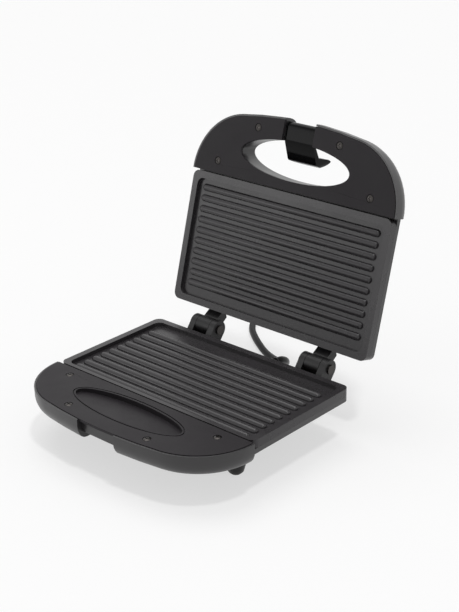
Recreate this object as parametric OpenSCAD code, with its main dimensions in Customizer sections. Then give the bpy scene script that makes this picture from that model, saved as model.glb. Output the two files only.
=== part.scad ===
// Two-slice grill sandwich toaster: a base and a hinged lid, each a moulded
// shell with a D-shaped handle, a die-cast ribbed plate and a heating element.
// Lengths are millimetres. The closed toaster is drawn with y = 0 at the front
// edge of the plates, z = 0 on the table and x = 0 in the middle. The lid then
// turns open about the hinge, and the whole moves so that its middle is at 0.

/* [Plates] */
// Width of both grill plates
plate_w = 216; // [180:1:262]
// Depth of both grill plates, front to back
plate_d = 118; // [112:1:144]
// Height of the lower plate's rim above the table
plate_z = 47; // [44:0.5:58]
// Gap between the two plate rims when closed
plate_gap = 1; // [0.6:0.1:2]
// Height of the plate's outside skirt
skirt_h = 7.2; // [6.6:0.1:10]
// Thickness of the skirt
skirt_t = 2.4; // [1.8:0.1:3.5]
// Radius of the plate's outside corners
plate_r = 6; // [4:0.5:12]
// Width of the flat rim at the sides and rear of the grilling area
rim_w = 6; // [4:0.5:10]
// Width of the lower plate's rim at the front
lower_front_rim = 3.6; // [3:0.1:6]
// Width of the upper plate's rim at the front
upper_front_rim = 6.2; // [4:0.1:8]
// Depth of the grilling area below the rim
pan_depth = 3.6; // [2.6:0.1:3.8]
// Thickness of the plate under the grilling area
web_t = 2.6; // [2:0.1:3]

/* [Ribs] */
// Number of ribs on each plate
rib_count = 10; // [6:1:10]
// Distance from rib to rib
rib_pitch = 9.6; // [8:0.1:10]
// Radius of a rib's rounded back
rib_r = 3.3; // [2.5:0.1:3.8]
// Depth of the rib crest below the rim
rib_drop = 0.8; // [0.4:0.1:1.5]
// Space between a rib's rounded end and the rim at the side
rib_end = 5; // [2:0.5:30]
// First rib from the front edge on the lower plate
lower_first_rib = 8; // [7:0.5:14]
// First rib from the front edge on the upper plate
upper_first_rib = 14; // [10:0.5:18]

/* [Shells] */
// Height of the upright lip that carries each plate
lip_h = 4.2; // [3:0.1:6]
// Wall thickness of both shells
wall = 2.2; // [1.8:0.1:2.8]
// Height of the base shell's underside above the table
belly_z = 20; // [16:0.5:23]
// How far the base shell's sides lean in from lip to underside
base_inset = 31; // [26:1:36]
// Height of the lid's outer face above its plate rim
dome_h = 32.5; // [30:0.5:40]
// How far the lid's sides lean in from lip to outer face
dome_inset = 34; // [28:1:44]

/* [Handles] */
// How far both handles stand out past the plates' sides
handle_over = 2.5; // [0:0.5:6]
// How far the handles reach in front of the plates
handle_reach = 61.5; // [58:0.5:70]
// Radius of the handles' corners
handle_corner_r = 56; // [50:1:57]
// How far the handles' front edge bows out beyond the foremost points of their corners
handle_bow = 4.344660; // [3:0.1:6]
// Thickness of each handle
handle_t = 19; // [17:0.5:23]
// How far the handle's outer edge rounds in
handle_round = 9; // [6:0.5:9.5]
// Thickness of the handle covers
cover_t = 2.4; // [2:0.1:2.6]
// Width of the shell wall seen round a cover
cover_inset = 1.5; // [1:0.1:2.5]
// Clearance round each cover
cover_gap = 0.3; // [0.2:0.05:0.5]
// Half length of the finger opening and of the finger recess
oval_a = 58.5; // [45:0.5:62]
// Half width of the finger opening and of the finger recess
oval_b = 16.5; // [13:0.5:17.5]
// Middle of the finger opening, in front of the plates
oval_y = 26; // [24:0.5:28]
// Deepest part of the finger recess
recess_depth = 4.6; // [3:0.1:6]
// Depth of the finger recess at its front
recess_front = 0.8; // [0.6:0.1:2]
// Width of the groove round the finger recess
groove_w = 1; // [0.6:0.1:1.5]
// Depth of that groove
groove_depth = 0.9; // [0.5:0.1:1.2]

/* [Latch] */
// Width of the latch
latch_w = 31; // [24:0.5:34]
// Thickness of the latch arm
latch_t = 3; // [2.4:0.1:3.4]
// Radius of the latch barrel round its pin
latch_barrel_r = 3.8; // [3.4:0.1:5]
// Radius of the latch pin
latch_pin_r = 1.5; // [1.2:0.1:2]
// Play between the latch pin and the latch
latch_play = 0.06; // [0.03:0.01:0.1]
// Space on each side of the latch in the lid handle
latch_side_gap = 1; // [0.5:0.1:2]
// Height of the latch pin above the lid's plate rim
latch_rise = 8.8; // [7:0.1:9.5]
// Distance from the handles' front edge back to the latch pin
latch_set = 7; // [6:0.1:8]
// Radius of the latch's lower corners
latch_corner_r = 5; // [2:0.5:7]
// Space on each side of the latch in the base handle's notch
notch_side_gap = 4.5; // [2:0.5:8]
// Depth of that notch
notch_depth = 5.5; // [5.5:0.1:7]
// Depth of the ledge that the latch hooks behind, front to back
hook_seat_w = 15; // [14:0.5:18]
// Height of that ledge above the base handle's underside
hook_seat_h = 6.4; // [4:0.1:8]
// Play between the hook and that ledge
hook_gap = 0.4; // [0.3:0.1:0.8]

/* [Hinge] */
// Distance from the plates' rear edge to the hinge axis
hinge_reach = 15; // [14:0.5:20]
// Angle that the lid stands open
open_angle = 105.9; // [95:0.1:110]
// Middle of each hinge, from the middle of the toaster
hinge_x = 62; // [50:1:70]
// Width of each hinge over its two ears
hinge_w = 28; // [24:1:34]
// Thickness of each ear
ear_t = 6; // [5:0.5:8]
// Radius of the hinge knuckles
knuckle_r = 8; // [7:0.5:9]
// Radius of the hinge pins
hinge_pin_r = 2.5; // [2:0.1:3]
// Play between a hinge pin and its bores
hinge_play = 0.06; // [0.03:0.01:0.1]
// Side clearance between ear and arm
hinge_side_gap = 0.4; // [0.3:0.1:0.8]

/* [Feet] */
// Front legs, from the middle
front_leg_x = 74; // [60:1:80]
// Front legs, behind the plates' front edge
front_leg_y = 17.5; // [14:0.5:30]
// Rear legs, from the middle
rear_leg_x = 50; // [40:1:66]
// Rear legs, in front of the plates' rear edge
rear_leg_back = 13; // [12:1:40]
// Radius of a front leg where it stands
front_foot_r = 6.4; // [5.5:0.1:10]
// Radius of a rear leg where it stands
rear_foot_r = 8; // [7:0.5:10]
// Radius of a leg where it meets the shell
leg_top_r = 11.5; // [10:0.5:13]
// Thickness of the rubber pads
pad_t = 2; // [1.5:0.1:3]

/* [Screws] */
// Radius of the cover screws' heads
screw_head_r = 2.9; // [2.4:0.1:3.4]
// Radius of the screws' shanks
screw_r = 1.4; // [1.2:0.1:1.7]

/* [Heating] */
// Radius of the heating elements' sheath
element_r = 3.2; // [2.8:0.1:3.4]
// Half length of the heating elements' straight runs
element_half = 72; // [50:1:76]
// Distance between the two straight runs
element_span = 52; // [40:1:60]
// Thickness of the reflector sheet
sheet_t = 0.6; // [0.5:0.1:1]
// Depth of the reflector trays
tray_h = 8; // [7.4:0.1:8.4]

/* [Cord] */
// Diameter of the mains cord
cord_d = 6.5; // [6:0.1:7]
// Middle of the cord outlet from the middle of the toaster
outlet_x = 8; // [-10:1:20]
// Height of the cord outlet
outlet_z = 29; // [28:0.5:30]
// Length of the strain relief outside the shell
relief_len = 26; // [20:1:40]

/* [Hidden] */
$fn = 64;
eps = 0.01;

// Handle outline: the corner arcs meet the front arc on one tangent
handle_w = plate_w + 2 * handle_over;
corner_x = handle_w / 2 - handle_corner_r;
corner_y = handle_corner_r + handle_bow - handle_reach;
// The front arc's radius that gives this bow between corners that far apart
handle_front_r = handle_corner_r + handle_bow / 2 + corner_x * corner_x / (2 * handle_bow);
front_centre_y = handle_front_r - handle_reach;
tangent_angle = atan2(front_centre_y - corner_y, -corner_x) - 90;
corner_steps = 16;
front_steps = 6;
// Where the front edge lies, beside the middle by x
front_step = 2 * tangent_angle / front_steps;
function front_at(x) = let (
    a = front_step * floor(asin(x / handle_front_r) / front_step),
    p = handle_front_r * [sin(a), cos(a)], q = handle_front_r * [sin(a + front_step), cos(a + front_step)]
) front_centre_y - p[1] - (q[1] - p[1]) * (x - p[0]) / (q[0] - p[0]);
oval_points = 72;
// How the handle's outer edge rounds in and down, step by step
round_steps = 5;
function round_in(i) = handle_round * (1 - cos(90 * i / round_steps));
function round_down(i) = (handle_t - upright_h) * sin(90 * i / round_steps);

// Heights in the closed toaster
lip_top = plate_z - skirt_h;
lip_low = lip_top - lip_h;
lid_z = plate_z + plate_gap;
web_low = pan_depth + web_t;
wall_top_drop = 0.6;
fit = 0.3;
// Upright part of a handle's side, from its open edge down to where it rounds in
upright_h = 7;

// Hinge
hinge_y = plate_d + hinge_reach;
hinge_z = plate_z;
ear_x = hinge_w / 2 - ear_t / 2;
arm_w = hinge_w - 2 * ear_t - 2 * hinge_side_gap;
stop_len = knuckle_r + 5.5;
stop_w = 5;
head_r = hinge_pin_r + 1.6;
head_t = 1.4;

// Latch, drawn in its closed place and hanging straight down when open
latch_y = -(handle_reach - latch_set);
latch_z = lid_z + latch_rise;
// Tilt that brings the latch's centre of mass under its pin
latch_lean = 1.2;
cut_half = latch_w / 2 + latch_side_gap;
cheek_t = 2.6;
latch_pin_half = cut_half + cheek_t + 2;
notch_half = latch_w / 2 + notch_side_gap;
// Outer face of the arm, in front of the pin: it passes in front of the base's cover
arm_out = latch_set - cover_inset - cover_gap + fit + latch_t;
// Inner side of the hook, below the pin
hook_drop = latch_rise + plate_gap + handle_t - hook_seat_h + hook_gap;
latch_low = hook_drop + 10.2;
// Outline of the latch seen from its side, from the top round its front to the hook
latch_outline = [
    [0, latch_barrel_r], [-3.2, latch_barrel_r], [-4.6, latch_barrel_r - 0.6], [-5.4, latch_barrel_r - 2],
    [0.3 - arm_out, -8.8], [-arm_out, -10.5], [0.1 - arm_out, -12], [-4.6, -hook_drop - 4.2], [-3.4, -hook_drop - 6],
    [5.2, -latch_low], [7.4, -latch_low], [15.2, -hook_drop - 7], [15.6, -hook_drop - 5.8],
    [13, -hook_drop - 3.8], [1.2, -hook_drop], [-0.6, -hook_drop],
    [latch_t - arm_out, -11.2], [-2.8, -latch_barrel_r + 0.6]
];

// Heights and leans of the lid's dome: height, lean of the sides, of the front and of the rear, corner radius
dome_lip = skirt_h + lip_h;
function dome_rings(thin) = let (rise = dome_h - thin - dome_lip) [
    [skirt_h - (thin > 0 ? 1 : 0), 0, 0, 0, plate_r],
    [dome_lip, 0, 0, 0, plate_r],
    [dome_lip + rise * 0.16, dome_inset * 0.1, 2, 1, 8],
    [dome_lip + rise * 0.5, dome_inset * 0.28, 7, 3, 11],
    [dome_lip + rise * 0.76, dome_inset * 0.47, 13, 7, 14],
    [dome_lip + rise * 0.93, dome_inset * 0.72, 22, 14, 17],
    [dome_h - thin, dome_inset, 32, 22, 20]
];

// The middle lies between the base's front, beside the notch, and the open lid's farthest point,
// which is on its handle, its dome or the latch
pan_overlap = 6;
function opened_y(y, z) = hinge_y + (y - hinge_y) * cos(open_angle) + (z - hinge_z) * sin(open_angle);
back_y = max(concat(
    [for (i = [0:round_steps]) opened_y(round_in(i) - handle_reach, lid_z + upright_h + round_down(i))],
    [for (r = dome_rings(0)) opened_y(corner_y - pan_overlap + r[2], lid_z + r[0])],
    [for (p = latch_outline) opened_y(latch_y, latch_z) + p[0] * cos(latch_lean) + p[1] * sin(latch_lean)]
));
mid_y = (back_y + front_at(notch_half)) / 2;

// Places of the cover screws, the same on both handles
screw_side_x = handle_w / 2 - 27.8;
screw_front_x = 43.8;
screw_front_y = 13.5 - handle_reach;
cover_screws = [
    [-screw_side_x, -12], [screw_side_x, -12], [-screw_front_x, screw_front_y], [screw_front_x, screw_front_y]
];
boss_r = 4.5;
// Places of the legs, each with the radius that it stands on
legs_at = [
    [-front_leg_x, front_leg_y, front_foot_r], [front_leg_x, front_leg_y, front_foot_r],
    [-rear_leg_x, plate_d - rear_leg_back, rear_foot_r], [rear_leg_x, plate_d - rear_leg_back, rear_foot_r]
];
leg_root_h = 7;
// Rim left round a pad where it sits in its leg, and the play round the pad
pad_rim = 2;
pad_gap = 0.2;
// Places of the screws that hold a reflector to its plate
tray_screw_x = plate_w / 2 - 24;
tray_screw_back = 22;
tray_screws = [for (x = [-tray_screw_x, tray_screw_x], y = [tray_screw_back, plate_d - tray_screw_back]) [x, y]];
rib_half = plate_w / 2 - rim_w - rib_end;
// Places and size of the two indicator lenses in the lid's outer face
lens_x = 12;
lens_y = 34;
lens_r = 3.2;
tray_boss_r = 4;
tray_margin = 14;

// Mains cord: it runs back from the outlet, drops to the table and winds into a coil
cord_r = cord_d / 2;
cord_lie = cord_r + 0.1;
relief_base_r = 6.5;
relief_tip_r = 4.3;
outlet_y = plate_d + 0.6;
outlet_boss_r = 7.6;
outlet_boss_t = 9;
cord_start_y = outlet_y + relief_len;
coil_at = [-70, 301];
coil_r_out = 43;
coil_step = cord_d + 0.2;
coil_turns = 2.5;
cord_path = [
    [outlet_x, cord_start_y, outlet_z], [outlet_x, 151, 28.3], [5.5, 160, 23.5], [-2, 169.5, 15.5], [-14, 178, 9],
    [-29, 185.5, 5], [-45, 193, cord_lie], [-61, 202.5, cord_lie], [-76, 213, cord_lie], [-90, 225, cord_lie],
    [-101, 240, cord_lie], [-108, 258, cord_lie], [-112, 275, cord_lie]
];
tail_path = [
    [-56.4, 279, 9.6], [-63.5, 275.6, 9.9], [-72, 274, 9.9], [-83, 273.5, 9.9], [-96, 273.5, 9.9],
    [-108, 273.5, 9.9], [-118, 273, 9.6], [-125, 273, 8.9], [-130, 273, 8.6]
];
plug_at = [-130, 273, 8.6];
plug_len = 46;

// ---- places ---------------------------------------------------------------

module on_table() translate([0, -mid_y, 0]) children();

// Closed place of the lid to its open place
module on_lid() {
    on_table()
        translate([0, hinge_y, hinge_z])
            rotate([-open_angle, 0, 0])
                translate([0, -hinge_y, -hinge_z]) children();
}

// A lid piece drawn upwards from its plate rim
module from_lid_rim() on_lid() translate([0, 0, lid_z]) children();

// The latch hangs from its pin, whichever way the lid stands
module on_latch() {
    dy = latch_y - hinge_y;
    dz = latch_z - hinge_z;
    on_table()
        translate([0, hinge_y + dy * cos(open_angle) + dz * sin(open_angle),
                   hinge_z - dy * sin(open_angle) + dz * cos(open_angle)])
            children();
}

module both_sides() {
    children();
    mirror([1, 0, 0]) children();
}

// ---- outlines -------------------------------------------------------------

function arc(cx, cy, r, from, to, steps) =
    [for (i = [0:steps]) let (a = from + (to - from) * i / steps) [cx + r * cos(a), cy + r * sin(a)]];

// The D of a handle, drawn in by an inset that leaves its rear edge in place
function handle_outline(inset = 0) = concat(
    arc(corner_x, corner_y, handle_corner_r - inset, 0, -90 + tangent_angle, corner_steps),
    [for (i = [1:front_steps - 1])
        let (a = -90 + tangent_angle - 2 * tangent_angle * i / front_steps)
        [(handle_front_r - inset) * cos(a), front_centre_y + (handle_front_r - inset) * sin(a)]],
    arc(-corner_x, corner_y, handle_corner_r - inset, -90 - tangent_angle, -180, corner_steps)
);

function oval(a, b) = [for (i = [0:oval_points - 1]) let (t = 360 * i / oval_points) [a * cos(t), -oval_y + b * sin(t)]];

// Rounded rectangle from y0 to y1, centred on x = 0
function round_box(half, y0, y1, r) = concat(
    arc(half - r, y1 - r, r, 90, 0, 6), arc(half - r, y0 + r, r, 0, -90, 6),
    arc(r - half, y0 + r, r, -90, -180, 6), arc(r - half, y1 - r, r, 180, 90, 6)
);

function at_height(points, z) = [for (p = points) [p[0], p[1], z]];

// A closed solid through rings of equally many points, each clockwise from above
module loft(rings) {
    n = len(rings[0]);
    m = len(rings);
    polyhedron(
        points = [for (ring = rings) each ring],
        faces = concat(
            [[for (i = [n - 1:-1:0]) i]],
            [for (k = [0:m - 2], i = [0:n - 1]) let (j = (i + 1) % n) [k * n + i, (k + 1) * n + j, (k + 1) * n + i]],
            [for (k = [0:m - 2], i = [0:n - 1]) let (j = (i + 1) % n) [k * n + i, k * n + j, (k + 1) * n + j]],
            [[for (i = [0:n - 1]) (m - 1) * n + i]]
        ),
        convexity = 6
    );
}

// ---- handle body: upright at the covers, rounding in to its outer face ----

// Drawn upwards from the outer face at z = 0 to the open side at z = handle_t
module handle_body(thin = 0) {
    top = handle_t - wall_top_drop + (thin > 0 ? 1 : 0);
    loft(concat(
        [for (i = [round_steps:-1:0])
            at_height(handle_outline(round_in(i) + thin), max(thin, handle_t - upright_h - round_down(i) + thin * sin(90 * i / round_steps)))],
        [at_height(handle_outline(thin), top)]
    ));
}

// ---- base -----------------------------------------------------------------

// Outside of the base's pan, or its inside when thin is the wall
module base_pan(thin = 0) {
    fall = lip_low - belly_z;
    // each ring: height, lean of the sides, of the front and of the rear, corner radius
    rings = [
        [belly_z + thin, base_inset, 15, 2, 14],
        [belly_z + thin + 0.6, base_inset * 0.93, 13, 1.8, 14],
        [belly_z + thin + fall * 0.42, base_inset * 0.55, 8, 1, 12],
        [belly_z + thin + fall * 0.84, base_inset * 0.12, 2, 0.3, 8],
        [lip_low + thin * 0.6, 0, 0, 0, plate_r],
        [lip_top + (thin > 0 ? 1 : 0), 0, 0, 0, plate_r]
    ];
    loft([for (r = rings) at_height(round_box(
        plate_w / 2 - thin - r[1], max(corner_y - pan_overlap + thin + r[2], thin > 0 ? corner_y + thin : -99),
        plate_d - thin - r[3], r[4]), r[0])]);
}

// Thick collar in the rear wall that the strain relief snaps into
module outlet_boss() translate([outlet_x, outlet_y - outlet_boss_t, outlet_z])
    rotate([-90, 0, 0]) cylinder(r = outlet_boss_r, h = outlet_boss_t);

module base_shell() color("#242326") on_table() difference() {
    union() {
        translate([0, 0, plate_z - handle_t]) handle_body();
        base_pan();
        for (p = legs_at) translate([p[0], p[1], belly_z]) cylinder(r = leg_top_r, h = leg_root_h);
        outlet_boss();
    }
    difference() {
        translate([0, 0, plate_z - handle_t]) handle_body(wall);
        translate([-handle_w, corner_y - wall, 0]) cube([2 * handle_w, 20, plate_z]);
        for (p = cover_screws) translate([p[0], p[1], 0]) cylinder(r = boss_r, h = plate_z - cover_t);
        translate([-notch_half - wall, -handle_reach - 1, 0]) cube([2 * (notch_half + wall), notch_depth + wall + 1, plate_z]);
        translate([-notch_half - wall, -handle_reach - 1, 0]) cube([2 * (notch_half + wall), notch_depth + hook_seat_w + wall + 1, plate_z - handle_t + hook_seat_h + wall]);
    }
    difference() {
        base_pan(wall);
        for (p = legs_at) translate([p[0], p[1], 0]) cylinder(r = leg_top_r, h = belly_z + leg_root_h);
        outlet_boss();
    }
    // seat for the handle cover
    translate([0, 0, plate_z - cover_t])
        linear_extrude(cover_t) polygon(handle_outline(cover_inset));
    // notch that the latch lies in
    translate([-notch_half, -handle_reach - 1, 0])
        cube([2 * notch_half, notch_depth + 1, plate_z + 1]);
    // ledge under the handle that the latch hooks behind
    translate([-notch_half, -handle_reach - 1, 0])
        cube([2 * notch_half, notch_depth + hook_seat_w + 1, plate_z - handle_t + hook_seat_h]);
    for (p = cover_screws) translate([p[0], p[1], plate_z - handle_t + wall]) cylinder(r = screw_r, h = handle_t);
    for (p = legs_at) translate([p[0], p[1], 0]) cylinder(r = screw_r, h = belly_z + leg_root_h - 1);
    translate([outlet_x, outlet_y - 30, outlet_z]) rotate([-90, 0, 0]) cylinder(r = relief_base_r - 1.5, h = 40);
    // row of vent slots in the flat underside
    for (i = [-3:3]) translate([i * 11 - 1.5, 34, belly_z - 1]) cube([3, 40, wall + 2]);
}

// Floor of the finger recess: it falls towards the back
module recess_cut(a, b) {
    slope = atan((recess_depth - recess_front) / (2 * b));
    intersection() {
        translate([0, 0, -recess_depth - 2]) linear_extrude(recess_depth + 6) polygon(oval(a, b));
        translate([0, -oval_y - b, -recess_front]) rotate([-slope, 0, 0]) translate([-a - 5, -20, 0]) cube([2 * a + 10, 2 * b + 60, 20]);
    }
}

module base_handle_cover() color("#464244") on_table() translate([0, 0, plate_z]) difference() {
    union() {
        translate([0, 0, -cover_t]) linear_extrude(cover_t) polygon(handle_outline(cover_inset + cover_gap));
        translate([0, 0, -recess_depth - 1.6]) linear_extrude(recess_depth) polygon(oval(oval_a + 1, oval_b - 0.5));
    }
    recess_cut(oval_a - 1, oval_b - 1.2);
    // groove that runs round the recess
    difference() {
        oval_prism(oval_a + 0.6 + groove_w, oval_b + 0.6 + groove_w, -groove_depth, 1);
        oval_prism(oval_a + 0.6, oval_b + 0.6, -groove_depth - 1, 2);
    }
    for (p = cover_screws) translate([p[0], p[1], -cover_t - 1]) {
        cylinder(r = screw_r + 0.25, h = cover_t + 2);
        translate([0, 0, cover_t]) cylinder(r = screw_head_r + 0.5, h = 2);
    }
}

// Pan-head screw standing on z = 0, its shank below, with a cross recess
module screw(head_r, head_h, shank_r, shank_len) difference() {
    union() {
        cylinder(r = head_r, h = head_h * 0.55);
        translate([0, 0, head_h * 0.55 - eps]) cylinder(r1 = head_r, r2 = head_r * 0.62, h = head_h * 0.45);
        translate([0, 0, -shank_len]) cylinder(r = shank_r, h = shank_len + eps);
    }
    for (a = [0, 90]) rotate([0, 0, a]) translate([-head_r * 0.55, -0.35, head_h * 0.45]) cube([head_r * 1.1, 0.7, head_h]);
}

module base_cover_screws() color("#8c8a88") on_table()
    for (p = cover_screws) translate([p[0], p[1], plate_z - 1]) screw(screw_head_r, 1.3, screw_r - 0.05, 8);

// Half section of a rib along its length: a bar with domed ends
rib_profile = concat(
    [for (a = [0:15:90]) [rib_r * sin(a), rib_r - rib_r * cos(a)]],
    [for (a = [0:15:90]) [rib_r * cos(a), 2 * rib_half - rib_r + rib_r * sin(a)]]
);

// A grill plate with its rim at z = 0 and its skirt below
module grill_plate(first_rib, front_rim) difference() {
    union() {
        difference() {
            translate([0, 0, -skirt_h]) linear_extrude(skirt_h) polygon(round_box(plate_w / 2, 0, plate_d, plate_r));
            translate([0, 0, -pan_depth]) linear_extrude(pan_depth + 1)
                polygon(round_box(plate_w / 2 - rim_w, front_rim, plate_d - rim_w, plate_r));
            translate([0, 0, -skirt_h - 10]) linear_extrude(skirt_h + 10 - web_low)
                polygon(round_box(plate_w / 2 - skirt_t, skirt_t, plate_d - skirt_t, plate_r - 1));
        }
        intersection() {
            for (i = [0:rib_count - 1]) translate([-rib_half, first_rib + i * rib_pitch, -rib_drop - rib_r])
                rotate([0, 90, 0]) rotate_extrude() polygon(rib_profile);
            translate([-plate_w / 2, 0, -pan_depth - 1]) cube([plate_w, plate_d, pan_depth + 1]);
        }
        for (p = tray_screws) translate([p[0], p[1], -skirt_h]) cylinder(r = tray_boss_r, h = skirt_h - pan_depth - 1);
    }
    for (p = tray_screws) translate([p[0], p[1], -skirt_h - 1]) cylinder(r = screw_r, h = skirt_h - pan_depth);
}

module lower_plate() color("#454345") on_table() translate([0, 0, plate_z]) grill_plate(lower_first_rib, lower_front_rim);

// Tubular element bent to a U and lying against the plate, with its cold ends
module element() translate([0, plate_d / 2, -web_low - element_r]) {
    for (s = [-1, 1]) {
        translate([-element_half, s * element_span / 2, 0]) rotate([0, 90, 0]) cylinder(r = element_r, h = element_half + 44);
        translate([-element_half - 7, s * element_span / 2, 0]) rotate([0, 90, 0]) cylinder(r = element_r * 0.42, h = 7 + eps);
    }
    translate([44, 0, 0]) rotate([0, 0, -90]) rotate_extrude(angle = 180) translate([element_span / 2, 0]) circle(r = element_r);
}

// Sheet tray with its edge against the plate and its floor under the element
module reflector() translate([0, 0, -web_low - tray_h]) difference() {
    linear_extrude(tray_h) polygon(round_box(plate_w / 2 - tray_margin, tray_margin, plate_d - tray_margin, 8));
    translate([0, 0, sheet_t]) linear_extrude(tray_h)
        polygon(round_box(plate_w / 2 - tray_margin - sheet_t, tray_margin + sheet_t, plate_d - tray_margin - sheet_t, 8 - sheet_t));
    for (p = tray_screws) translate([p[0], p[1], -1]) cylinder(r = screw_r + 0.2, h = tray_h);
}

// Spacer screws from the reflector's floor up into the plate's bosses
module reflector_screws() for (p = tray_screws) translate([p[0], p[1], -web_low - tray_h]) {
    rotate([180, 0, 0]) screw(2.6, 1.6, screw_r - 0.05, tray_h + 1.5);
    translate([0, 0, sheet_t]) difference() {
        cylinder(r = 2.6, h = tray_h + web_low - skirt_h - sheet_t);
        translate([0, 0, -1]) cylinder(r = screw_r + 0.02, h = tray_h + 2);
    }
}

module lower_element() color("#8f8a84") on_table() translate([0, 0, plate_z]) element();
module lower_reflector() color("#b9bbbd") on_table() translate([0, 0, plate_z]) reflector();
module lower_reflector_screws() color("#a5a6a8") on_table() translate([0, 0, plate_z]) reflector_screws();

// Disc thermostat clamped against the lower plate between the element's runs
module thermostat() color("#d8d4c8") on_table() translate([-20, plate_d / 2, plate_z - web_low]) {
    translate([0, 0, -1.2]) cylinder(r = 8, h = 1.2);
    translate([0, 0, -6.2]) cylinder(r = 6.6, h = 5 + eps);
    both_sides() translate([3.2, -1.6, -7.2]) cube([0.8, 3.2, 1.2]);
}

// Thermal fuse in its sleeve, strapped beside the thermostat
module thermal_fuse() color("#c9b458") on_table() translate([14, plate_d / 2, plate_z - web_low - 2.3]) {
    rotate([0, 90, 0]) cylinder(r = 2.3, h = 16);
    translate([-5, 0, 0]) rotate([0, 90, 0]) cylinder(r = 0.6, h = 26);
    translate([6, -5, 0.9]) cube([4, 10, 1.4]);
}

// Two-way terminal block beside the outlet, on the shell's floor
module terminal_block() color("#e6e2d6") on_table() translate([outlet_x - 12, 84, belly_z + wall]) difference() {
    cube([24, 13, 8]);
    for (x = [6, 18]) {
        translate([x, -1, 4]) rotate([-90, 0, 0]) cylinder(r = 1.7, h = 20);
        for (y = [3.5, 9.5]) translate([x, y, 4]) cylinder(r = 1.4, h = 10);
    }
}

// Cone-shaped legs that stand the base up, each screwed to its root
module legs() color("#1d1c1e") on_table() difference() {
    for (p = legs_at) translate([p[0], p[1], pad_t / 2]) {
        cylinder(r1 = p[2] - 1, r2 = p[2], h = 1.2);
        translate([0, 0, 1.2]) cylinder(r1 = p[2], r2 = leg_top_r, h = belly_z - pad_t / 2 - 1.2);
    }
    for (p = legs_at) translate([p[0], p[1], 0]) {
        translate([0, 0, -1]) cylinder(r = p[2] - pad_rim, h = pad_t + 1);
        cylinder(r = screw_r, h = 60);
    }
}

module foot_pads() color("#151515") on_table()
    for (p = legs_at) translate([p[0], p[1], 0]) cylinder(r = p[2] - pad_rim - pad_gap, h = pad_t);

// Two ears and the web that the lid's stop comes to rest on
module base_hinge() {
    root_z = lip_low - 6;
    for (s = [-1, 1]) translate([s * ear_x - ear_t / 2, 0, 0]) difference() {
        union() {
            translate([0, hinge_y, hinge_z]) rotate([0, 90, 0]) cylinder(r = knuckle_r, h = ear_t);
            rotate([90, 0, 90]) linear_extrude(ear_t) polygon([
                [plate_d, root_z], [hinge_y - 2, root_z + 2], [hinge_y + knuckle_r * 0.8, hinge_z - knuckle_r * 0.6],
                [hinge_y - knuckle_r * 0.6, hinge_z + knuckle_r * 0.8], [plate_d + 1.2, lip_top + 2], [plate_d, lip_top + 2]
            ]);
        }
        translate([-1, hinge_y, hinge_z]) rotate([0, 90, 0]) cylinder(r = hinge_pin_r + hinge_play, h = ear_t + 2);
    }
    translate([-hinge_w / 2 + ear_t - eps, plate_d, root_z]) cube([hinge_w - 2 * ear_t + 2 * eps, hinge_reach - stop_w / 2 - fit, 6]);
}

module base_hinge_left() color("#1c1b1d") on_table() translate([-hinge_x, 0, 0]) base_hinge();
module base_hinge_right() color("#1c1b1d") on_table() translate([hinge_x, 0, 0]) base_hinge();

module hinge_pins() color("#b4b4b2") on_table() for (s = [-1, 1])
    translate([s * hinge_x - hinge_w / 2, hinge_y, hinge_z]) rotate([0, 90, 0]) {
        cylinder(r = hinge_pin_r, h = hinge_w + 0.2);
        translate([0, 0, -head_t]) cylinder(r = head_r, h = head_t);
        translate([0, 0, hinge_w + 0.2]) cylinder(r = head_r, h = head_t);
    }

// Tapered sleeve that grips the shell and leads the cord straight back
module strain_relief() color("#161617") on_table() translate([outlet_x, outlet_y, outlet_z]) rotate([-90, 0, 0])
    rotate_extrude() polygon([
        [0, -12], [relief_base_r, -12], [relief_base_r, -9.2], [relief_base_r - 1.6, -9.2],
        [relief_base_r - 1.6, 0.2], [relief_base_r + 1, 0.2], [relief_base_r + 1, 2.2], [relief_base_r - 0.6, 3],
        [relief_tip_r, relief_len - 1], [relief_tip_r - 0.6, relief_len], [0, relief_len]
    ]);

// ---- lid, drawn upwards from its plate rim at z = 0 --------------------------

// The lid's domed back, or its inside when thin is the wall
module lid_dome(thin = 0) loft([for (r = dome_rings(thin)) at_height(round_box(
    plate_w / 2 - thin - r[1], max(corner_y - pan_overlap + thin + r[2], thin > 0 ? corner_y + thin : -99),
    plate_d - thin - r[3], r[4]), r[0])]);

module oval_prism(a, b, z0, z1) translate([0, 0, z0]) linear_extrude(z1 - z0) polygon(oval(a, b));

// Gap across the handle that the latch hangs in
module latch_gap(half, z0, z1) translate([-half, -handle_reach - 5, z0]) cube([2 * half, handle_reach + 5 - oval_y, z1 - z0]);

module lid_shell() color("#1e1d1f") from_lid_rim() difference() {
    union() {
        translate([0, 0, handle_t]) mirror([0, 0, 1]) handle_body();
        lid_dome();
    }
    difference() {
        translate([0, 0, handle_t]) mirror([0, 0, 1]) handle_body(wall);
        translate([-handle_w, corner_y - wall, -1]) cube([2 * handle_w, 20, 60]);
        oval_prism(oval_a + wall, oval_b + wall, -2, handle_t + 1);
        latch_gap(cut_half + cheek_t, -2, handle_t + 1);
        for (p = cover_screws) translate([p[0], p[1], cover_t]) cylinder(r = boss_r, h = handle_t);
    }
    lid_dome(wall);
    translate([0, 0, -eps]) linear_extrude(cover_t + eps) polygon(handle_outline(cover_inset));
    oval_prism(oval_a, oval_b, -1, handle_t + 1);
    latch_gap(cut_half, -1, handle_t + 1);
    for (p = cover_screws) translate([p[0], p[1], -1]) cylinder(r = screw_r, h = handle_t - wall + 1);
    translate([0, latch_y, latch_z - lid_z]) rotate([0, 90, 0]) cylinder(r = latch_pin_r, h = 2 * latch_pin_half, center = true);
    for (s = [-1, 1]) translate([s * lens_x, lens_y, dome_h - 12]) cylinder(r = lens_r, h = 20);
}

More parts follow.
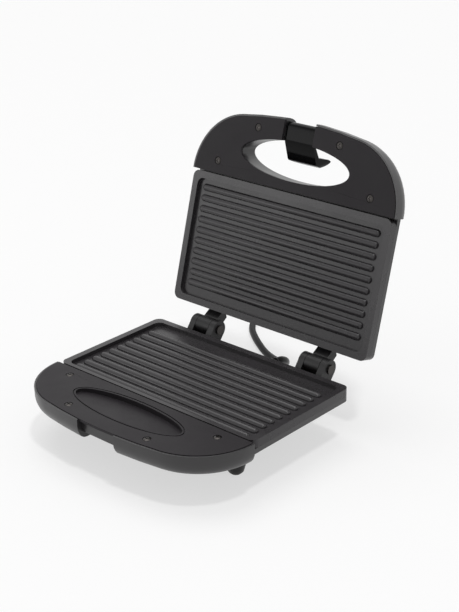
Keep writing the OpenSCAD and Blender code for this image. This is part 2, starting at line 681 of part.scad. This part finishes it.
module lid_handle_cover() color("#262426") from_lid_rim() difference() {
    linear_extrude(cover_t) polygon(handle_outline(cover_inset + cover_gap));
    oval_prism(oval_a, oval_b, -1, cover_t + 1);
    latch_gap(cut_half, -1, cover_t + 1);
    for (p = cover_screws) translate([p[0], p[1], -1]) {
        cylinder(r = screw_r + 0.25, h = cover_t + 2);
        cylinder(r = screw_head_r + 0.5, h = 2);
    }
}

module lid_cover_screws() color("#8c8a88") from_lid_rim()
    for (p = cover_screws) translate([p[0], p[1], 1]) rotate([180, 0, 0]) screw(screw_head_r, 1.3, screw_r - 0.05, 8);

module upper_plate() color("#454345") from_lid_rim() mirror([0, 0, 1]) grill_plate(upper_first_rib, upper_front_rim);
module upper_element() color("#8f8a84") from_lid_rim() mirror([0, 0, 1]) element();
module upper_reflector() color("#b9bbbd") from_lid_rim() mirror([0, 0, 1]) reflector();
module upper_reflector_screws() color("#a5a6a8") from_lid_rim() mirror([0, 0, 1]) reflector_screws();

// Arm from the lid's rear wall to its knuckle, with the stop behind the pin
module lid_hinge() translate([-arm_w / 2, 0, 0]) difference() {
    union() {
        translate([0, hinge_y, hinge_z]) rotate([0, 90, 0]) cylinder(r = knuckle_r, h = arm_w);
        rotate([90, 0, 90]) linear_extrude(arm_w) polygon([
            [plate_d, lid_z + skirt_h + 1], [plate_d + 1, lid_z + skirt_h], [hinge_y - knuckle_r * 0.8, hinge_z + 1],
            [hinge_y, hinge_z + knuckle_r], [plate_d + 6, lid_z + skirt_h + lip_h + 3], [plate_d, lid_z + skirt_h + lip_h]
        ]);
        translate([0, hinge_y, hinge_z]) rotate([open_angle, 0, 0]) translate([0, -stop_w / 2, -stop_len]) cube([arm_w, stop_w, stop_len]);
    }
    translate([-1, hinge_y, hinge_z]) rotate([0, 90, 0]) cylinder(r = hinge_pin_r + hinge_play, h = arm_w + 2);
}

module lid_hinge_left() color("#1c1b1d") on_lid() translate([-hinge_x, 0, 0]) lid_hinge();
module lid_hinge_right() color("#1c1b1d") on_lid() translate([hinge_x, 0, 0]) lid_hinge();

module lens() {
    translate([0, 0, -5]) cylinder(r = lens_r - 0.15, h = 5.4);
    translate([0, 0, -wall - 1.2]) cylinder(r = lens_r + 1, h = 1.2);
}

module power_lens() color("#b8231c") from_lid_rim() translate([-lens_x, lens_y, dome_h]) lens();
module ready_lens() color("#2c9a3c") from_lid_rim() translate([lens_x, lens_y, dome_h]) lens();

// Small board that carries the two neon lamps under their lenses
module indicator_board() color("#3c6a46") from_lid_rim() translate([0, lens_y, dome_h - wall - 9]) {
    translate([-22, -7, -1.6]) cube([44, 14, 1.6]);
    for (s = [-1, 1]) translate([s * lens_x, 0, 0]) cylinder(r = 2.2, h = 5.8);
    for (s = [-1, 1]) translate([s * 19.5, 0, 0]) cylinder(r = 1.8, h = 9);
}

module latch_pin() color("#b4b4b2") on_lid() translate([0, latch_y, latch_z]) rotate([0, 90, 0])
    cylinder(r = latch_pin_r, h = 2 * latch_pin_half, center = true);

// ---- latch: barrel, bent arm and hook, with its pin at the origin ------------

module latch() color("#141415") on_latch() rotate([-latch_lean, 0, 0]) difference() {
    intersection() {
        union() {
            translate([-latch_w / 2, 0, 0]) rotate([0, 90, 0]) cylinder(r = latch_barrel_r, h = latch_w);
            rotate([90, 0, 90]) translate([0, 0, -latch_w / 2]) linear_extrude(latch_w) polygon(latch_outline);
        }
        // lower corners rounded, seen from the front
        rotate([90, 0, 0]) translate([0, 0, -30]) linear_extrude(60) polygon(concat(
            [[-latch_w / 2 - 1, 20], [latch_w / 2 + 1, 20], [latch_w / 2 + 1, 0], [latch_w / 2, 0]],
            arc(latch_w / 2 - latch_corner_r, latch_corner_r - latch_low, latch_corner_r, 0, -90, 6),
            arc(latch_corner_r - latch_w / 2, latch_corner_r - latch_low, latch_corner_r, -90, -180, 6),
            [[-latch_w / 2, 0], [-latch_w / 2 - 1, 0]]
        ));
    }
    translate([-latch_w, 0, 0]) rotate([0, 90, 0]) cylinder(r = latch_pin_r + latch_play, h = 2 * latch_w);
}

// ---- mains cord -----------------------------------------------------------

function unit(v) = v / norm(v);
function along(path, i) = unit(path[min(i + 1, len(path) - 1)] - path[max(i - 1, 0)]);

// Smooth points through the route, some for each stretch
function spline(path, steps = 3) = concat(
    [for (i = [0:len(path) - 2], s = [0:steps - 1])
        let (t = s / steps, p0 = path[max(i - 1, 0)], p1 = path[i], p2 = path[i + 1], p3 = path[min(i + 2, len(path) - 1)])
        0.5 * ((2 * p1) + (p2 - p0) * t + (2 * p0 - 5 * p1 + 4 * p2 - p3) * t * t + (3 * p1 - p0 - 3 * p2 + p3) * t * t * t)],
    [path[len(path) - 1]]
);

module tube(path, r, sides = 8) {
    points = spline(path);
    loft([for (i = [0:len(points) - 1])
        let (d = along(points, i), side = unit(cross(d, [0, 0, 1])), up = cross(side, d))
        [for (k = [0:sides - 1]) let (a = 360 * k / sides) points[i] + r * (cos(a) * side + sin(a) * up)]]);
}

module power_cord() color("#121213") on_table() tube(cord_path, cord_r);

// Outer shape of the wound turns
module cord_coil() color("#121213") on_table() translate([coil_at[0], coil_at[1], 0])
    rotate_extrude() translate([coil_r_out - coil_step * coil_turns - cord_r, 0])
        square([coil_step * coil_turns + cord_d, cord_d]);

module cord_tail() color("#121213") on_table() tube(tail_path, cord_r);

// Two-pin plug lying on its flat side
module on_plug() on_table() translate(plug_at) rotate([0, -90, 0]) children();

module plug_body() color("#121213") on_plug() {
    cylinder(r1 = 4.2, r2 = 5.4, h = 14);
    translate([0, 0, 14 - eps]) cylinder(r1 = 6.4, r2 = 8.5, h = 6);
    translate([0, 0, 20 - 2 * eps]) linear_extrude(plug_len - 20) square([17, 30], center = true);
}

module plug_pins() color("#c9c6bd") on_plug()
    for (s = [-1, 1]) translate([0, s * 9.5, plug_len]) cylinder(r = 2.4, h = 19);

base_shell();
base_handle_cover();
base_cover_screws();
lower_plate();
lower_element();
lower_reflector();
lower_reflector_screws();
thermostat();
thermal_fuse();
terminal_block();
legs();
foot_pads();
base_hinge_left();
base_hinge_right();
hinge_pins();
strain_relief();
lid_shell();
lid_handle_cover();
lid_cover_screws();
upper_plate();
upper_element();
upper_reflector();
upper_reflector_screws();
lid_hinge_left();
lid_hinge_right();
power_lens();
ready_lens();
indicator_board();
latch_pin();
latch();
power_cord();
cord_coil();
cord_tail();
plug_body();
plug_pins();
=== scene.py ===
"""Looks of a two-slice grill sandwich toaster that stands open on a white table.

Places are written as in the toaster's drawing: millimetres, y counted from the
front edge of the plates, z from the table.
"""

import math

import bmesh
import bpy
from mathutils import Matrix, Vector


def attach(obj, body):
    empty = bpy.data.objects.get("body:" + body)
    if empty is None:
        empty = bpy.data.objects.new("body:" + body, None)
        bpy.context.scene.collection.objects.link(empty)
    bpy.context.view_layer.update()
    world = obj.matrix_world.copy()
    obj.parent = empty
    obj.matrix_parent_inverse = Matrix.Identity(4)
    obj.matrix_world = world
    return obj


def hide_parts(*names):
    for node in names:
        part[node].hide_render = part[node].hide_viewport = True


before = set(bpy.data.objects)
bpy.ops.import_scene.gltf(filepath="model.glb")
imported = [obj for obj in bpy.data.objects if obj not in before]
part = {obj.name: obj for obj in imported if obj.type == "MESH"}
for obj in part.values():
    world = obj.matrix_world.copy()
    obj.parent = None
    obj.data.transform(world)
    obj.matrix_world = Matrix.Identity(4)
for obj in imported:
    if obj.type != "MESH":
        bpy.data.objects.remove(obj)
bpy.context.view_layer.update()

MM = 0.001
# The frame's middle, counted from the front edge of the plates
MIDDLE_Y = 73.9103


def spot(x, y, z):
    """A place in the drawing, in the frame's metres."""
    return Vector((x, y - MIDDLE_Y, z)) * MM


# ---- camera: the photograph's own place and lens ------------------------------------

AZIMUTH, ELEVATION, ROLL = (math.radians(a) for a in (42.43, 23.34, -1.13))
EYE = spot(694.8, -665.4, 540.3)
FOCAL_PX, TALL_PX, SENSOR_MM = 1355, 612, 36

flat = math.cos(ELEVATION)
toward = Vector((math.sin(AZIMUTH) * flat, -math.cos(AZIMUTH) * flat, math.sin(ELEVATION)))
level = Vector((math.cos(AZIMUTH), math.sin(AZIMUTH), 0))
upright = toward.cross(level)
across = level * math.cos(ROLL) + upright * math.sin(ROLL)
upward = upright * math.cos(ROLL) - level * math.sin(ROLL)
camera = bpy.data.objects.new("camera", bpy.data.cameras.new("camera"))
camera.data.lens = FOCAL_PX / TALL_PX * SENSOR_MM
camera.data.sensor_width = SENSOR_MM
camera.data.clip_end = 20
camera.matrix_world = Matrix.Translation(EYE) @ Matrix((across, upward, toward)).transposed().to_4x4()
bpy.context.scene.collection.objects.link(camera)
bpy.context.scene.camera = camera


# ---- shapes --------------------------------------------------------------------------


def placed(name, mesh, body, finish=None, smooth=True):
    """Puts a mesh in the scene as a piece of one body."""
    piece = bpy.data.objects.new(name, mesh)
    bpy.context.scene.collection.objects.link(piece)
    if smooth and hasattr(mesh, "polygons"):
        mesh.shade_smooth()
    if finish:
        mesh.materials.append(finish)
    if body:
        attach(piece, body)
    return piece


def skinned(name, rings, close_ends=True):
    """A closed mesh through rings of equally many points."""
    form = bmesh.new()
    loops = [[form.verts.new(p) for p in ring] for ring in rings]
    count = len(loops[0])
    for lower, upper in zip(loops, loops[1:]):
        for i in range(count):
            j = (i + 1) % count
            form.faces.new((lower[i], lower[j], upper[j], upper[i]))
    if close_ends:
        form.faces.new(reversed(loops[0]))
        form.faces.new(loops[-1])
    bmesh.ops.recalc_face_normals(form, faces=form.faces)
    mesh = bpy.data.meshes.new(name)
    form.to_mesh(mesh)
    form.free()
    return mesh


def turned(name, profile, axis_place, axis, sides=48):
    """A revolved mesh: profile is (radius, distance along the axis) in millimetres."""
    axis = Vector(axis).normalized()
    first = axis.orthogonal().normalized()
    second = axis.cross(first)
    rings = []
    for radius, along in profile:
        ring = []
        for i in range(sides):
            a = 2 * math.pi * i / sides
            outward = (first * math.cos(a) + second * math.sin(a)) * radius
            ring.append(axis_place + (axis * along + outward) * MM)
        rings.append(ring)
    return skinned(name, rings)


def catmull(route, steps):
    """Points of a smooth line through the route."""
    out = []
    last = len(route) - 1
    for i in range(last):
        p0, p1, p2, p3 = (route[k] for k in (max(i - 1, 0), i, i + 1, min(i + 2, last)))
        for s in range(steps):
            t = s / steps
            out.append(0.5 * (2 * p1 + (p2 - p0) * t
                              + (2 * p0 - 5 * p1 + 4 * p2 - p3) * t * t
                              + (3 * p1 - p0 - 3 * p2 + p3) * t ** 3))
    return out + [route[last]]


# ---- finishes --------------------------------------------------------------------------


def linear(colour):
    """An sRGB hex colour as linear RGBA."""
    parts = [int(colour[i:i + 2], 16) / 255 for i in (1, 3, 5)]
    return tuple(c / 12.92 if c <= 0.04045 else ((c + 0.055) / 1.055) ** 2.4 for c in parts) + (1.0,)


def add(tree, kind, values=None, wires=None, **settings):
    """One node with its settings, its socket values and what is wired into it."""
    node = tree.nodes.new(kind)
    for name, value in settings.items():
        setattr(node, name, value)
    for name, value in (values or {}).items():
        node.inputs[name].default_value = value
    for name, source in (wires or {}).items():
        tree.links.new(source, node.inputs[name])
    return node


def blank(name):
    """An empty material with its output."""
    material = bpy.data.materials.new(name)
    material.use_nodes = True
    material.node_tree.nodes.clear()
    return material, material.node_tree, add(material.node_tree, "ShaderNodeOutputMaterial")


def coated(name, colour, worn, roughness, spread, grain_mm, depth_mm, cloud_mm=22, **sockets):
    """A finish with a fine grain, a slow change of gloss and a slow change from colour to worn."""
    material, tree, out = blank(name)
    place = add(tree, "ShaderNodeTexCoord").outputs["Object"]
    grain = add(tree, "ShaderNodeTexNoise", {"Scale": 1 / (grain_mm * MM), "Detail": 3.0, "Roughness": 0.55},
                {"Vector": place})
    cloud = add(tree, "ShaderNodeTexNoise", {"Scale": 1 / (cloud_mm * MM), "Detail": 5.0, "Roughness": 0.6},
                {"Vector": place}).outputs["Fac"]
    tint = add(tree, "ShaderNodeMix", {6: linear(colour), 7: linear(worn)}, {0: cloud}, data_type="RGBA")
    gloss = add(tree, "ShaderNodeMapRange",
                {"From Min": 0.3, "From Max": 0.7, "To Min": roughness - spread, "To Max": roughness + spread},
                {"Value": cloud})
    bump = add(tree, "ShaderNodeBump", {"Strength": 1.0, "Distance": depth_mm * MM},
               {"Height": grain.outputs["Fac"]})
    values = {socket.replace("_", " "): value for socket, value in sockets.items()}
    shader = add(tree, "ShaderNodeBsdfPrincipled", values, {
        "Base Color": tint.outputs[2], "Roughness": gloss.outputs["Result"], "Normal": bump.outputs["Normal"]})
    tree.links.new(shader.outputs["BSDF"], out.inputs["Surface"])
    return material


# Grains are given in millimetres. Those of the mouldings and the coat are really 0.1 to 0.3 mm wide, too
# fine to show, so they are drawn at 0.4 to 1.2 mm.

# Glass-filled PBT from a polished mould: a deep black with a soft, slightly uneven gloss.
moulded_pbt = coated("moulded_pbt", "#1c1b1c", "#232123", 0.33, 0.05, 0.9, 0.012, IOR=1.57, Specular_IOR_Level=0.5)
# The same resin from a spark-eroded mould: a fine matt grain that lifts the black to charcoal.
grained_pbt = coated("grained_pbt", "#211f21", "#282528", 0.48, 0.05, 0.6, 0.035, IOR=1.5, Specular_IOR_Level=0.16)
# Glossy ABS of the latch, straight from the mould: nearly black, with clear reflections.
polished_abs = coated("polished_abs", "#060607", "#0b0b0c", 0.14, 0.03, 1.2, 0.008, IOR=1.46, Specular_IOR_Level=0.1)
# Nylon of the hinges and legs: dull, with a soft bloom.
moulded_nylon = coated("moulded_nylon", "#131213", "#1a191a", 0.42, 0.06, 0.8, 0.02, IOR=1.53, Specular_IOR_Level=0.3)
# Sprayed PTFE coat on cast aluminium: dark and satin, with the pebble of the blasted casting under it.
ptfe_coat = coated("ptfe_coat", "#2a282a", "#343234", 0.28, 0.04, 0.7, 0.02, IOR=1.38, Specular_IOR_Level=0.6)
# Zinc-plated steel of the pins and reflector screws: bright with a faint yellow.
zinc_steel = coated("zinc_steel", "#b9b6ae", "#a5a29a", 0.32, 0.08, 0.5, 0.006, Metallic=1.0)
# Blackened steel of the cover screws and the hinge pins: a dull dark shine.
black_steel = coated("black_steel", "#3c3a39", "#4a4745", 0.34, 0.08, 0.5, 0.01, Metallic=1.0)
# Annealed steel of the elements' sheaths: brownish grey, blotched by heat.
annealed_steel = coated("annealed_steel", "#857c72", "#6d645e", 0.45, 0.1, 0.8, 0.02, cloud_mm=9, Metallic=1.0)
# Rolled aluminium of the reflector trays: bright and slightly blurred.
rolled_aluminium = coated("rolled_aluminium", "#cfd0d2", "#bfc0c3", 0.28, 0.08, 0.4, 0.01, Metallic=1.0)
# Steatite of the thermostat and the terminal block: a dull cream.
steatite = coated("steatite", "#ddd8ca", "#cfc9b9", 0.6, 0.05, 0.4, 0.02, IOR=1.6)
# Varnished glass-fibre sleeve of the fuse: straw yellow.
glass_sleeve = coated("glass_sleeve", "#c8b56a", "#b7a154", 0.5, 0.08, 0.5, 0.05, IOR=1.5)
# Phenolic board with green solder mask.
solder_mask = coated("solder_mask", "#1f4a2c", "#285836", 0.35, 0.06, 0.5, 0.01, IOR=1.55)
# Clear tinted polycarbonate of the two lamp windows: small glossy dots of colour.
red_polycarbonate = coated("red_polycarbonate", "#a3130d", "#b61b12", 0.14, 0.02, 2.0, 0.004, IOR=1.58)
green_polycarbonate = coated("green_polycarbonate", "#14702a", "#1b8234", 0.14, 0.02, 2.0, 0.004, IOR=1.58)
# Natural rubber of the foot pads: matt black.
rubber_pad = coated("rubber_pad", "#191919", "#222222", 0.8, 0.06, 0.5, 0.05, IOR=1.52)
# Soft PVC of the mains cord and its mouldings: black and smooth.
soft_pvc = coated("soft_pvc", "#060607", "#0b0b0c", 0.3, 0.05, 1.0, 0.012, IOR=1.5, Specular_IOR_Level=0.1)
# Nickel plate of the plug's pins: a warm mirror.
nickel_plate = coated("nickel_plate", "#cfc9bd", "#bdb6a9", 0.2, 0.05, 0.6, 0.004, Metallic=1.0)
# Woven nylon hook tape of the coil's tie: dull, with a coarse nap.
hook_tape = coated("hook_tape", "#19191b", "#262629", 0.9, 0.05, 0.5, 0.12, IOR=1.5)

finish_of = {
    moulded_pbt: ["base_shell", "lid_shell"],
    grained_pbt: ["base_handle_cover", "lid_handle_cover"],
    polished_abs: ["latch"],
    moulded_nylon: ["legs", "base_hinge_left", "base_hinge_right", "lid_hinge_left", "lid_hinge_right"],
    ptfe_coat: ["lower_plate", "upper_plate"],
    zinc_steel: ["latch_pin", "lower_reflector_screws", "upper_reflector_screws"],
    black_steel: ["base_cover_screws", "lid_cover_screws", "hinge_pins"],
    annealed_steel: ["lower_element", "upper_element"],
    rolled_aluminium: ["lower_reflector", "upper_reflector"],
    steatite: ["thermostat", "terminal_block"],
    glass_sleeve: ["thermal_fuse"],
    solder_mask: ["indicator_board"],
    red_polycarbonate: ["power_lens"],
    green_polycarbonate: ["ready_lens"],
    rubber_pad: ["foot_pads"],
    nickel_plate: ["plug_pins"],
}
for finish, names in finish_of.items():
    for name in names:
        mesh = part[name].data
        mesh.materials.clear()
        mesh.materials.append(finish)
        mesh.shade_smooth()


# ---- edges of the moulded and cast parts --------------------------------------------------

# Points nearer than this are one, and an edge that bends more than this angle is a real one
WELD_MM = 0.002
SHARP_ANGLE = math.radians(32)


def eased_group():
    """Joins the facets of a part and keeps only its real edges sharp."""
    group = bpy.data.node_groups.new("eased", "GeometryNodeTree")
    group.interface.new_socket("Geometry", in_out="INPUT", socket_type="NodeSocketGeometry")
    group.interface.new_socket("Geometry", in_out="OUTPUT", socket_type="NodeSocketGeometry")
    start = add(group, "NodeGroupInput")
    joined = add(group, "GeometryNodeMergeByDistance", {"Distance": WELD_MM * MM}, {"Geometry": start.outputs[0]})
    angle = add(group, "GeometryNodeInputMeshEdgeAngle")
    real = add(group, "FunctionNodeCompare", {1: SHARP_ANGLE}, {0: angle.outputs["Unsigned Angle"]},
               data_type="FLOAT", operation="GREATER_THAN")
    soft = add(group, "GeometryNodeSetShadeSmooth", {"Shade Smooth": True},
               {"Geometry": joined.outputs["Geometry"]}, domain="FACE")
    crisp = add(group, "GeometryNodeSetShadeSmooth", {"Shade Smooth": False},
                {"Geometry": soft.outputs["Geometry"], "Selection": real.outputs["Result"]}, domain="EDGE")
    add(group, "NodeGroupOutput", None, {0: crisp.outputs["Geometry"]})
    return group


EASED = eased_group()
# How far each part's edges are rounded
EDGE_MM = {
    "base_shell": 0.35, "lid_shell": 0.35, "base_handle_cover": 0.3, "lid_handle_cover": 0.3, "latch": 0.5,
    "lower_plate": 0.45, "upper_plate": 0.45, "legs": 0.4, "base_hinge_left": 0.5, "base_hinge_right": 0.5,
    "lid_hinge_left": 0.5, "lid_hinge_right": 0.5, "hinge_pins": 0.35,
}
for name, node in part.items():
    ease = node.modifiers.new("ease", "NODES")
    ease.node_group = EASED
    if name in EDGE_MM:
        edge = node.modifiers.new("edge", "BEVEL")
        edge.width = EDGE_MM[name] * MM
        edge.segments = 2
        edge.limit_method = "ANGLE"
        edge.angle_limit = SHARP_ANGLE
        edge.harden_normals = True


# ---- mains cord -----------------------------------------------------------------------------

CORD_R = 3.25
# Height of the cord's middle where it lies on the table
LIE = CORD_R + 0.1
# Where the boot meets the housing's rear wall
OUTLET = Vector((8, 118.6, 29))
# The coil's middle, the radius of its first turn, and how much nearer each turn lies
COIL = Vector((-70, 301, 0))
COIL_OUT, COIL_STEP, TURNS, PER_TURN = 43, 6.7, 2.5, 20
# The tie's place round the coil, its width and its thickness
TIE_ANGLE, TIE_W, TIE_T = math.radians(90), 11, 0.7
# How far the strands are lifted by the tape under them, and how far round the coil (radians) they ease down again
LIFT, EASE_DOWN = TIE_T + 0.05, 0.4
# Height of the tape's inside under the strands, and its play beside and above them
TAPE_LOW, SIDE_PLAY, TOP_PLAY = 0.8, 0.1, 0.12

# Where the route comes from, so that it leaves the boot straight
inside_boot = Vector((8, 138, 29))
# Out of the boot, down to the table, and along it to the coil
route = [Vector(p) for p in (
    (8, 144.6, 29), (8, 151, 28.3), (5.5, 160, 23.5), (-2, 169.5, 15.5), (-14, 178, 9), (-29, 185.5, 5),
    (-45, 193, LIE), (-61, 202.5, LIE), (-76, 213, LIE), (-90, 225, LIE), (-101, 240, LIE), (-108, 258, LIE),
    (-112, 275, LIE))]
# Out of the coil, over its turns, and to the plug
tail = [Vector(p) for p in (
    (-45.6, 292, 4.3), (-50.2, 284.3, 6.9), (-56.4, 279, 9.6), (-63.5, 275.6, 9.9), (-72, 274, 9.9),
    (-83, 273.5, 9.9), (-96, 273.5, 9.9), (-108, 273.5, 9.9), (-118, 273, 9.6), (-125, 273, 8.9),
    (-130, 273, 8.6))]
coil = []
for i in range(int(PER_TURN * TURNS) + 1):
    turn = i / PER_TURN
    a = math.pi - 2 * math.pi * turn
    radius = COIL_OUT - COIL_STEP * turn
    off_tie = math.remainder(a - TIE_ANGLE, 2 * math.pi)
    lift = LIFT * math.exp(-(off_tie / EASE_DOWN) ** 2)
    coil.append(COIL + Vector((radius * math.cos(a), radius * math.sin(a), LIE + lift)))
# Points drawn for each stretch of the route
STEPS = 4
line = catmull([inside_boot] + route + coil + tail, STEPS)[STEPS:]

flex_curve = bpy.data.curves.new("mains_flex", "CURVE")
flex_curve.dimensions = "3D"
flex_curve.bevel_depth = CORD_R * MM
flex_curve.bevel_resolution = 5
flex_curve.use_fill_caps = True
strand = flex_curve.splines.new("POLY")
strand.points.add(len(line) - 1)
for point, p in zip(strand.points, line):
    point.co = (*spot(*p), 1)
strand.use_smooth = True
flex = placed("mains_flex", flex_curve, "base", soft_pvc)
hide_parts("power_cord", "cord_coil", "cord_tail")

# The boot: a collar that snaps into the wall, then a tapered sleeve cut into rings so that it can bend.
RINGS, FIRST_RING, RING_PITCH, SLOT = 6, 3, 3.3, 1.1
RING_R, TAPER, SLOT_DEPTH = 6, 0.075, 0.9
boot_profile = [(0.4, -12), (6.3, -12), (6.5, -11.8), (6.5, -9.2), (4.9, -9.2), (4.9, 0.2), (7.2, 0.2), (7.5, 0.5),
                (7.5, 1.8), (7.1, 2.2)]
for i in range(RINGS):
    y = FIRST_RING + i * RING_PITCH
    r = RING_R - TAPER * (y - FIRST_RING)
    boot_profile += [(r - 0.15, y), (r, y + 0.2), (r - 0.1, y + RING_PITCH - SLOT),
                     (r - SLOT_DEPTH, y + RING_PITCH - SLOT + 0.1), (r - SLOT_DEPTH, y + RING_PITCH - 0.1)]
boot_profile += [(4.6, 22.9), (4.3, 25.2), (3.9, 25.9), (3.4, 26), (0.4, 26)]
sleeve = turned("flex_boot", boot_profile, spot(*OUTLET), (0, 1, 0))
boot = placed("flex_boot", sleeve, "base", soft_pvc)
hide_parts("strain_relief")


def oval(wide, tall, square, count=48):
    """Points of an outline between an ellipse (square 2) and a box with rounded corners (square 5)."""
    out = []
    for i in range(count):
        c, s = math.cos(2 * math.pi * i / count), math.sin(2 * math.pi * i / count)
        reach = (abs(c) ** square + abs(s) ** square) ** (-1 / square)
        out.append((wide / 2 * c * reach, tall / 2 * s * reach))
    return out


# The plug: a ringed neck that widens into a flat grip, waisted for two fingers, with a rounded rim
# at its face. Each station is its distance from the neck's end, its width, its height and its squareness.
PLUG = Vector((-130, 273, 8.6))
NECK_RINGS, NECK_PITCH = 4, 3.1
stations = [(0, 7.4, 7.4, 2), (0.4, 8.4, 8.4, 2)]
for i in range(NECK_RINGS):
    x, w = 0.6 + i * NECK_PITCH, 8.8 + i * 0.5
    for along, wider in ((0, 0), (1.9, 0.2), (2.05, -1.2), (3, -1.1)):
        stations.append((x + along, w + wider, w + wider, 2))
stations += [(13.2, 10.8, 10.8, 2), (14.5, 12.6, 12, 2), (17, 16.5, 13.6, 2.2), (20, 21.5, 15, 2.5),
             (23, 25.4, 15.9, 2.9), (26, 27.2, 16.2, 3.3), (30, 27, 16.1, 3.6), (34, 26.2, 16, 3.8),
             (38, 26.6, 16.2, 4), (41, 28.6, 16.6, 4.3), (42.4, 29.8, 16.9, 4.5), (44.8, 30, 17, 4.6),
             (45.7, 29.2, 16.3, 4.6), (46, 27.8, 15, 4.6)]
rings = [[spot(PLUG.x - x, PLUG.y + a, PLUG.z + b) for a, b in oval(wide, tall, square)]
         for x, wide, tall, square in stations]
plug = placed("moulded_plug", skinned("moulded_plug", rings), "base", soft_pvc)
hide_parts("plug_body")

# The tie: a tape wound once round the three strands on the coil's far side, with its end pressed
# down on its start.
outward = Vector((math.cos(TIE_ANGLE), math.sin(TIE_ANGLE), 0))
sideways = Vector((-outward.y, outward.x, 0))
# The innermost and the outermost strand under the tie, from the coil's middle
INNER, OUTER = (COIL_OUT - COIL_STEP * turn for turn in (2.25, 0.25))
FLAT_STEPS, BEND_STEPS, OVERLAP = 8, 16, 6


def round_strands(margin):
    """Points (out from the coil's middle, up) of a rounded box about the strands, from its top's inner end."""
    r = CORD_R + SIDE_PLAY + margin
    down, up = TAPE_LOW - margin, LIE + LIFT + CORD_R + TOP_PLAY + margin
    loop = []
    for here, there, height, start in ((INNER, OUTER, up, 90), (OUTER, INNER, down, -90)):
        loop += [(here + (there - here) * k / FLAT_STEPS, height) for k in range(FLAT_STEPS)]
        for k in range(BEND_STEPS):
            a = math.radians(start - k * 180 / BEND_STEPS)
            loop.append((there + r * math.cos(a), (up + down) / 2 + (up - down) / 2 * math.sin(a)))
    return loop


# The tape's inside, its outside, and the outside of the end that lies on its start
shells = [round_strands(m) for m in (0, TIE_T, 2 * TIE_T + 0.06)]
steps = len(shells[0])
rings = []
for k in range(steps + OVERLAP):
    climb = min(max((k - steps + OVERLAP) / (OVERLAP - 1), 0), 1)
    ring = []
    for lower, upper in ((0, 1), (1, 2)):
        a, b = shells[lower][k % steps], shells[upper][k % steps]
        ring.append((a[0] + (b[0] - a[0]) * climb, a[1] + (b[1] - a[1]) * climb))
    rings.append([spot(*(COIL + outward * out + sideways * side * TIE_W / 2 + Vector((0, 0, up))))
                  for (out, up), side in ((ring[0], -1), (ring[0], 1), (ring[1], 1), (ring[1], -1))])
tie = placed("coil_tie", skinned("coil_tie", rings), "base", hook_tape, smooth=False)
trim = tie.modifiers.new("trim", "BEVEL")
trim.width = 0.2 * MM
trim.segments = 2
trim.angle_limit = math.radians(50)


# ---- table and light ---------------------------------------------------------------------------


def white_for(tree, lit, strength, share=1.0):
    """White, by share, where the camera, a reflection or glass looks, and the lit surface for all other light."""
    path = add(tree, "ShaderNodeLightPath")
    seen = path.outputs["Is Camera Ray"]
    for ray in ("Is Glossy Ray", "Is Transmission Ray"):
        seen = add(tree, "ShaderNodeMath", None, {0: seen, 1: path.outputs[ray]}, operation="MAXIMUM").outputs[0]
    part_of = add(tree, "ShaderNodeMath", {1: share}, {0: seen}, operation="MULTIPLY")
    glow = add(tree, "ShaderNodeEmission", {"Color": (1, 1, 1, 1), "Strength": strength})
    return add(tree, "ShaderNodeMixShader", None, {0: part_of.outputs[0], 1: lit.outputs[0], 2: glow.outputs[0]})


TABLE_HALF = 4
floor_mesh = bpy.data.meshes.new("table")
floor_mesh.from_pydata([(x * TABLE_HALF, y * TABLE_HALF, 0) for x, y in ((-1, -1), (1, -1), (1, 1), (-1, 1))], [],
                       [(0, 1, 2, 3)])
# Matt white laminate: plain white, with the toaster's soft shadow kept.
white_laminate, tree, out = blank("white_laminate")
paint = add(tree, "ShaderNodeBsdfDiffuse", {"Color": linear("#fbfbfb")})
tree.links.new(white_for(tree, paint, 1.0, 0.6).outputs[0], out.inputs["Surface"])
table = placed("table", floor_mesh, None, finish=white_laminate, smooth=False)

world = bpy.data.worlds.new("studio")
bpy.context.scene.world = world
world.use_nodes = True
tree = world.node_tree
tree.nodes.clear()
soft_sky = add(tree, "ShaderNodeBackground", {"Color": (1, 1, 1, 1), "Strength": 0.42})
add(tree, "ShaderNodeOutputWorld", None, {0: white_for(tree, soft_sky, 1.0).outputs[0]})


def lamp(name, kind, place, target, power, **shape):
    """A soft lamp, in millimetres, that looks at a place."""
    light = bpy.data.lights.new(name, kind)
    light.energy = power
    for key, value in shape.items():
        setattr(light, key, value)
    holder = bpy.data.objects.new(name, light)
    bpy.context.scene.collection.objects.link(holder)
    holder.location = Vector(place) * MM
    holder.rotation_euler = (Vector(place) - Vector(target)).to_track_quat("Z", "Y").to_euler()


lamp("overhead", "SUN", (-500, 300, 1500), (0, 0, 0), 0.8, angle=math.radians(40))
lamp("front_left", "AREA", (-1100, -1200, 500), (0, 60, 120), 3, shape="SQUARE", size=0.7)
lamp("high_right", "SUN", (330, -50, 1200), (0, 0, 0), 0.9, angle=math.radians(6))
lamp("right_edge", "AREA", (1300, 300, 700), (0, 0, 100), 0.5, shape="SQUARE", size=0.25)

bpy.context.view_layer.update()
view_settings = bpy.context.scene.view_settings
view_settings.view_transform = "Standard"
